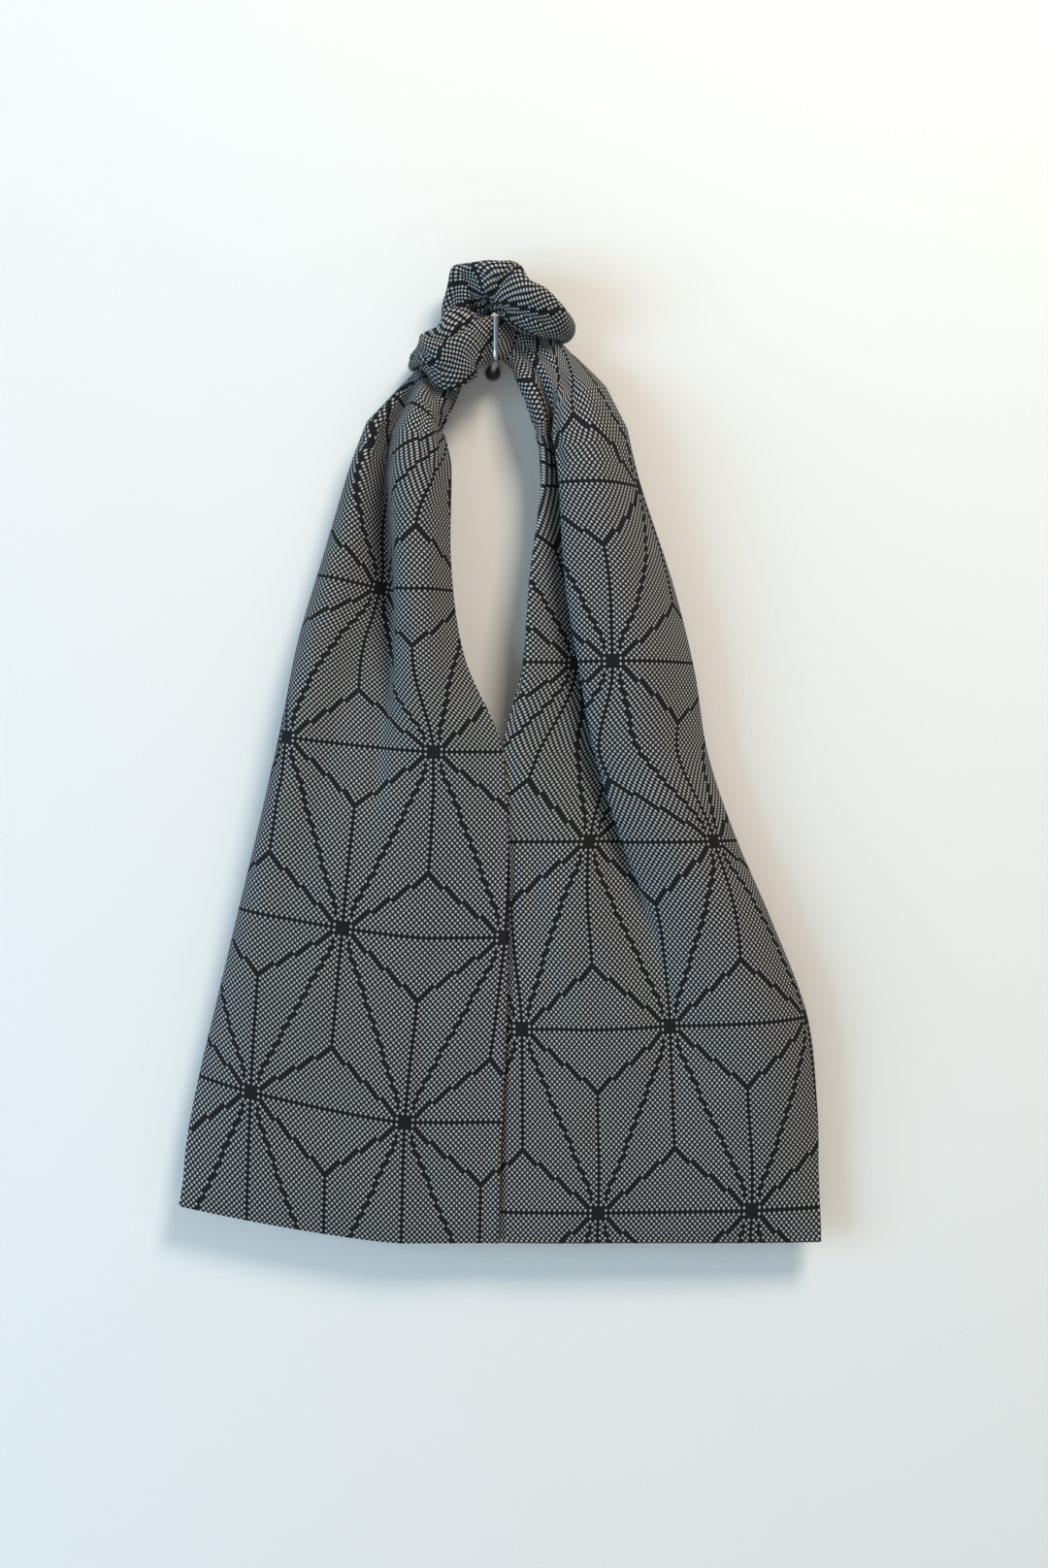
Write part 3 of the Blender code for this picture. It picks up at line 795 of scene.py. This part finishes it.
def use_group():
    """Use: broad soft noise, for cloth that has been washed, folded and handled. Tone is near
    1, and Fade is how much the yarn has roughened."""
    group, given, result, m = new_group(
        "marks of use", [("Cloth", VECTOR, None), ("Strength", NUMBER, 0.2)],
        [("Tone", NUMBER), ("Fade", NUMBER)])
    noise = noise_node(group, given.outputs["Cloth"], *PATCHES)
    uneven = m("SUBTRACT", noise, 0.5)
    spread_out = m("MULTIPLY", uneven, given.outputs["Strength"])
    group.links.new(m("ADD", spread_out, 1.0), result.inputs["Tone"])
    group.links.new(m("MAXIMUM", spread_out, 0.0), result.inputs["Fade"])
    return group


def stitch_group():
    """Stitches: a line of short dents at one distance from the hem. Place is the map `hem`."""
    group, given, result, m = new_group(
        "stitches", [("Place", VECTOR, None), ("From Hem", NUMBER, 0.3), ("Pitch", NUMBER, 0.3),
                     ("Half Width", NUMBER, 0.04)],
        [("Stitch", NUMBER)])
    from_hem, height, _ = split(group, given.outputs["Place"])
    away = m("ABSOLUTE", m("SUBTRACT", from_hem, given.outputs["From Hem"]))
    near = m("LESS_THAN", away, given.outputs["Half Width"])
    turn = m("FRACT", m("DIVIDE", height, given.outputs["Pitch"]))
    sewn = m("LESS_THAN", turn, STITCH_SHARE)
    group.links.new(m("MULTIPLY", near, sewn), result.inputs["Stitch"])
    return group


yarn = yarn_group()
use = use_group()
stitches = stitch_group()
print("shared groups", yarn.name, use.name, stitches.name)

# %% [markdown]
# ## The woven pattern as a shader group
# The cloth shows small white dots in a centred lattice, woven on black. A thin dark line is a row
# of dots left out, and the lines draw the hemp leaf: a lattice of triangles, each divided from
# its three corners to its middle. A group of Math nodes can say exactly that. First it finds the
# nearest dot, and that dot's place in its triangle as three weights that sum to one. The largest
# weight names the corner that the dot belongs to. The triangle's sides run on through every star.
# A line from a corner to the middle is drawn only among the dots that belong to its corner.

# %% The hemp leaf group

DOTS_ACROSS = 30        # dots from star to star
DOTS_UP = 32            # dots from row to row
STEEP = DOTS_ACROSS / 2 / DOTS_UP   # dots across for each row up, on a triangle's side
SPOKE = 3 * STEEP       # and on the line from its corner to its middle
STRAIGHT_REACH = 0.25   # a level or upright line takes one row of dots
STAR_HEART = 1.35       # rows round a star's middle without any dots
STAR_CLEAR = 2.3        # nearer than this the steep lines leave their dots


def digital_reach(slope):
    """In the turned lattice p = x + y, q = y - x the line is q = m p, and the dots that are nearest
    to it, one for each p, lie within 1/2 in q, which is 1/2 / (1 + m) in x."""
    return 0.5 / (1 + (1 - slope) / (1 + slope))


def hemp_leaf_group():
    """Dots: 1 on a white dot and 0 on the black ground."""
    group, given, result, m = new_group(
        "hemp leaf dots",
        [("Cloth", VECTOR, None), ("Dot Width", NUMBER, 0.255),
         ("Dot Height", NUMBER, 0.28), ("Edge", NUMBER, 0.5)],
        [("Dots", NUMBER)])
    cloth_u, cloth_v, _ = split(group, given.outputs["Cloth"])
    across = m("MULTIPLY", cloth_u, DOTS_ACROSS)
    up = m("MULTIPLY", cloth_v, DOTS_UP)
    # the nearest dot of each of the two interleaved lattices
    ax, ay = m("ROUND", across), m("ROUND", up)
    bx = m("ADD", m("FLOOR", across), 0.5)
    by = m("ADD", m("FLOOR", up), 0.5)
    far_a = m("ADD", m("ABSOLUTE", m("SUBTRACT", across, ax)), m("ABSOLUTE", m("SUBTRACT", up, ay)))
    second = m("GREATER_THAN", far_a, 0.5)
    dot_x = m("ADD", ax, m("MULTIPLY", second, m("SUBTRACT", bx, ax)))
    dot_y = m("ADD", ay, m("MULTIPLY", second, m("SUBTRACT", by, ay)))
    # an oval round the dot
    dx = m("DIVIDE", m("SUBTRACT", across, dot_x), given.outputs["Dot Width"])
    dy = m("DIVIDE", m("SUBTRACT", up, dot_y), given.outputs["Dot Height"])
    away = m("SQRT", m("ADD", m("MULTIPLY", dx, dx), m("MULTIPLY", dy, dy)))
    inside = m("DIVIDE", m("SUBTRACT", 1.0, away), given.outputs["Edge"], clamp=True)
    # the dot's weights in its triangle
    star_y = m("DIVIDE", dot_y, DOTS_UP)
    star_x = m("SUBTRACT", m("DIVIDE", dot_x, DOTS_ACROSS), m("MULTIPLY", star_y, 0.5))
    fx, fy = m("FRACT", star_x), m("FRACT", star_y)
    upper = m("GREATER_THAN", m("ADD", fx, fy), 1.0)
    wx = m("ABSOLUTE", m("SUBTRACT", upper, fx))
    wy = m("ABSOLUTE", m("SUBTRACT", upper, fy))
    wz = m("SUBTRACT", m("SUBTRACT", 1.0, wx), wy)

    def within(value, period, reach):
        """1 where value is nearer than reach to a multiple of period."""
        nearest = m("MULTIPLY", m("ROUND", m("DIVIDE", value, period)), period)
        return m("LESS_THAN", m("ABSOLUTE", m("SUBTRACT", value, nearest)), reach)

    def leads(one, two, three):
        """1 where one weight is larger than both others."""
        return m("GREATER_THAN", one, m("MAXIMUM", two, three))

    def leaning(slope, reach):
        """1 near the two lines x = slope y and x = -slope y through every star."""
        shift = m("MULTIPLY", dot_y, slope)
        return (within(m("SUBTRACT", dot_x, shift), DOTS_ACROSS, reach),
                within(m("ADD", dot_x, shift), DOTS_ACROSS, reach))

    flat = within(dot_y, DOTS_UP, STRAIGHT_REACH)
    upright = within(dot_x, DOTS_ACROSS / 2, STRAIGHT_REACH)
    upright = m("MULTIPLY", upright, leads(wy, wx, wz))
    steep = m("MAXIMUM", *leaning(STEEP, digital_reach(STEEP)))
    rising, falling = leaning(SPOKE, digital_reach(SPOKE))
    spokes = m("MAXIMUM", m("MULTIPLY", rising, leads(wz, wx, wy)),
               m("MULTIPLY", falling, leads(wx, wy, wz)))
    high = m("MAXIMUM", wx, m("MAXIMUM", wy, wz))
    from_star = m("MULTIPLY", m("SUBTRACT", 1.0, high), float(DOTS_UP))
    heart = m("LESS_THAN", from_star, STAR_HEART)
    steep = m("MULTIPLY", steep, m("GREATER_THAN", from_star, STAR_CLEAR))
    leant = m("MAXIMUM", steep, m("MAXIMUM", spokes, heart))
    gone = m("MAXIMUM", m("MAXIMUM", flat, upright), leant)
    dots = m("MULTIPLY", inside, m("SUBTRACT", 1.0, gone))
    group.links.new(dots, result.inputs["Dots"])
    return group


leaf_group = hemp_leaf_group()
print("nodes in the hemp leaf group", len(leaf_group.nodes))

# %% [markdown]
# ## The cloth's material
# The black ground and the white dots are both yarn, so both are rough, and a little light sits
# on their fibres as sheen. A Bump node makes the dots slightly proud and dents the stitches.

# %% Cloth material

GROUND = (0.008, 0.009, 0.010)      # the black yarn
DOT = (0.53, 0.53, 0.525)           # the white yarn
THREAD_HEIGHT = 0.4                 # the threads' height, where a dot's is 1
STITCH_HEIGHT = -1.5                # stitches pull the cloth in
CLOTH_BUMP = (0.4, 0.0002)          # strength, and the height of a dot in metres
CLOTH_ROUGH = (0.84, 0.6)           # roughness, and how much more of it where it has faded


def cloth_material(name):
    """Black and white yarn mixed by the hemp leaf group, with threads, use and stitches."""
    material, tree, shader = new_material(name)
    uv = tree.nodes.new("ShaderNodeUVMap")
    uv.uv_map = "cloth"
    hem = tree.nodes.new("ShaderNodeUVMap")
    hem.uv_map = "hem"
    leaf = group_node(tree, leaf_group, uv.outputs[0], "Cloth")
    threads = group_node(tree, yarn, uv.outputs[0], "Cloth")
    marks = group_node(tree, use, uv.outputs[0], "Cloth")
    sewing = group_node(tree, stitches, hem.outputs[0], "Place")
    mix = tree.nodes.new("ShaderNodeMix")
    mix.data_type = "RGBA"
    mix.inputs[6].default_value = (*GROUND, 1)      # the mix's colour A
    mix.inputs[7].default_value = (*DOT, 1)         # and colour B
    tree.links.new(leaf.outputs["Dots"], mix.inputs[0])
    tone = math_node(tree, "MULTIPLY", threads.outputs["Tone"], marks.outputs["Tone"])
    shade = tree.nodes.new("ShaderNodeVectorMath")
    shade.operation = "SCALE"
    tree.links.new(mix.outputs[2], shade.inputs[0])
    tree.links.new(tone, shade.inputs["Scale"])
    tree.links.new(shade.outputs[0], shader.inputs["Base Color"])
    stitch = sewing.outputs["Stitch"]
    dented = math_node(tree, "MULTIPLY_ADD", stitch, STITCH_HEIGHT, leaf.outputs["Dots"])
    thread = threads.outputs["Height"]
    bump_node(tree, math_node(tree, "MULTIPLY_ADD", thread, THREAD_HEIGHT, dented),
              *CLOTH_BUMP, shader)
    rough, more = CLOTH_ROUGH
    rough = math_node(tree, "MULTIPLY_ADD", marks.outputs["Fade"], more, rough, clamp=True)
    tree.links.new(rough, shader.inputs["Roughness"])
    shader.inputs["Specular IOR Level"].default_value = 0.22
    shader.inputs["Sheen Weight"].default_value = 0.05
    return material


for piece in (left_cloth, right_cloth):
    piece.data.materials.append(cloth_material(piece.name))
print("cloth materials", [piece.active_material.name for piece in (left_cloth, right_cloth)])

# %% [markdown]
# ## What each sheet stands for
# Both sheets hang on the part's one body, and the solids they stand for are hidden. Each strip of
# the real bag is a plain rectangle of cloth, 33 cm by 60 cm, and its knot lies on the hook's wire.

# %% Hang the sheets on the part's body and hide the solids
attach(left_cloth, "root")
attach(right_cloth, "root")
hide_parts("left_panel")
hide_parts("right_panel")
print("sheets on the part's body", left_cloth.name, right_cloth.name)

# %% [markdown]
# ## The hook
# The hook is bent from drawn steel wire with a bright plating, and sits in a dark turned collar.
# Drawing leaves fine lines along the wire, and turning leaves rings on the collar, so each gets
# its own noise, stretched along or round, in the roughness and the bump. The solids are kept, and
# a bevel rounds the wire's cut tip.

# %% Hook materials

LINES = (900.0, 4.0)        # noise: scale and finer layers
LINE_ROUGH = 0.22           # how far the lines spread the roughness
METAL_BUMP = (0.15, 0.0001)
METALS = (                  # node, colour, roughness, stretch of the lines
    ("hook_wire", (0.42, 0.45, 0.49), 0.22, (1, 0.1, 0.1)),
    ("hook_collar", (0.10, 0.10, 0.105), 0.42, (1, 6, 1)),
)
TIP_ROUND = 0.9             # radius of the wire's cut tip
TIP_ANGLE = 60              # only edges sharper than this are rounded


def metal_material(name, colour, roughness, stretch):
    """Metal with fine lines: noise on object coordinates stretched by `stretch`."""
    material, tree, shader = new_material(name)
    shader.inputs["Base Color"].default_value = (*colour, 1)
    shader.inputs["Metallic"].default_value = 1.0
    place = tree.nodes.new("ShaderNodeTexCoord")
    turned = tree.nodes.new("ShaderNodeMapping")
    turned.inputs["Scale"].default_value = stretch
    tree.links.new(place.outputs["Object"], turned.inputs[0])
    lines = noise_node(tree, turned.outputs[0], *LINES)
    rough = math_node(tree, "MULTIPLY_ADD", lines, LINE_ROUGH, roughness - LINE_ROUGH / 2)
    tree.links.new(rough, shader.inputs["Roughness"])
    bump_node(tree, lines, *METAL_BUMP, shader)
    return material


for node, colour, roughness, stretch in METALS:
    solid = bpy.data.objects[node]
    solid.data.materials.clear()
    solid.data.materials.append(metal_material(node, colour, roughness, stretch))
rounding = bpy.data.objects["hook_wire"].modifiers.new("Rounded tip", "BEVEL")
rounding.width = TIP_ROUND * MM
rounding.segments = 4
rounding.limit_method = "ANGLE"
rounding.angle_limit = math.radians(TIP_ANGLE)
print("hook solids dressed", [metal[0] for metal in METALS])

# %% [markdown]
# ## Wall and floor
# The bag hangs on a pale wall, and the wall stands on a pale floor well below the bag. Neither is
# part of the bag. A fine grain keeps the wall from looking like paper.

# %% Stage

GRAIN = (160.0, 4.0)
GRAIN_BUMP = (0.12, 0.0008)
WALL_AT = 0.0005            # just behind the mount's plane
WALL_TOP = 2.4
FLOOR_AT = -1.2
STAGE_HALF = 3
FLOOR_FRONT = -4
WALL_COLOUR = (0.92, 0.92, 0.90)
FLOOR_COLOUR = (0.8, 0.8, 0.78)


def flat_stage(name, corners, colour, one_sided):
    """A flat sheet of one pale colour with a fine grain. A one-sided wall is clear from behind,
    and to all rays but the camera's, so that light reaches the part's back."""
    mesh = bpy.data.meshes.new(name)
    mesh.from_pydata(corners, [], [tuple(range(len(corners)))])
    material, tree, shader = new_material(name)
    shader.inputs["Base Color"].default_value = (*colour, 1)
    shader.inputs["Roughness"].default_value = 0.9
    place = tree.nodes.new("ShaderNodeTexCoord")
    grain = noise_node(tree, place.outputs["Object"], *GRAIN)
    bump_node(tree, grain, *GRAIN_BUMP, shader)
    if one_sided:
        clear = tree.nodes.new("ShaderNodeBsdfTransparent")
        seen = tree.nodes.new("ShaderNodeNewGeometry")
        rays = tree.nodes.new("ShaderNodeLightPath")
        mix = tree.nodes.new("ShaderNodeMixShader")
        unseen = math_node(tree, "SUBTRACT", 1.0, rays.outputs["Is Camera Ray"])
        clear_for = math_node(tree, "MAXIMUM", seen.outputs["Backfacing"], unseen)
        tree.links.new(clear_for, mix.inputs[0])
        tree.links.new(shader.outputs[0], mix.inputs[1])
        tree.links.new(clear.outputs[0], mix.inputs[2])
        tree.links.new(mix.outputs[0], tree.nodes["Material Output"].inputs["Surface"])
    mesh.materials.append(material)
    placed(name, mesh)


def rectangle(low, high):
    """Corners of a rectangle as wide as the stage, from low to high."""
    return [(-STAGE_HALF, low), (STAGE_HALF, low), (STAGE_HALF, high), (-STAGE_HALF, high)]


wall = [(x, WALL_AT, z) for x, z in rectangle(FLOOR_AT, WALL_TOP)]
floor = [(x, y, FLOOR_AT) for x, y in rectangle(FLOOR_FRONT, STAGE_HALF)]
flat_stage("wall", wall, WALL_COLOUR, True)
flat_stage("floor", floor, FLOOR_COLOUR, False)
print("wall", WALL_AT, "behind the mount, and floor at", FLOOR_AT)

# %% [markdown]
# ## Light and camera
# A warm key light from the upper right front throws the soft shadow to the lower left, and a cool
# fill from the left keeps the left panel's side from going black. The room's own light is weak,
# so that the folds stay deep. The camera looks straight at the wall, level with the bag's middle.

# %% Light and camera

LAMPS = (       # name, place, aim, size, power, colour
    ("key", (0.7, -1.2, 1.2), (0, 0, -0.2), 0.6, 27, (1.0, 0.91, 0.78)),
    ("fill", (-2.0, -1.3, -0.3), (0, 0, -0.3), 1.4, 36, (0.46, 0.76, 1.0)),
)
ROOM_COLOUR = (1.0, 0.97, 0.93, 1)
ROOM_STRENGTH = 0.27
CAMERA_AT = (0.016, -1.12, -0.211)


def area_light(name, place, aim, size, power, colour):
    """A square lamp that faces its aim."""
    lamp = bpy.data.lights.new(name, "AREA")
    lamp.size = size
    lamp.energy = power
    lamp.color = colour
    thing = placed(name, lamp)
    thing.location = place
    direction = np.array(aim) - np.array(place)
    thing.rotation_euler = Vector(direction).to_track_quat("-Z", "Y").to_euler()


for lamp in LAMPS:
    area_light(*lamp)
bpy.context.scene.view_settings.view_transform = "Standard"
world = bpy.data.worlds.new("room")
bpy.context.scene.world = world
world.use_nodes = True
room = world.node_tree.nodes["Background"].inputs
room["Color"].default_value = ROOM_COLOUR
room["Strength"].default_value = ROOM_STRENGTH

camera_data = bpy.data.cameras.new("camera")
camera_data.lens = 50
camera_data.sensor_width = 36
camera_data.clip_start = 0.01
camera = placed("camera", camera_data)
camera.location = CAMERA_AT
camera.rotation_euler = (math.pi / 2, 0, 0)
bpy.context.scene.camera = camera
print("lamps", len(LAMPS), "and the camera at", CAMERA_AT)
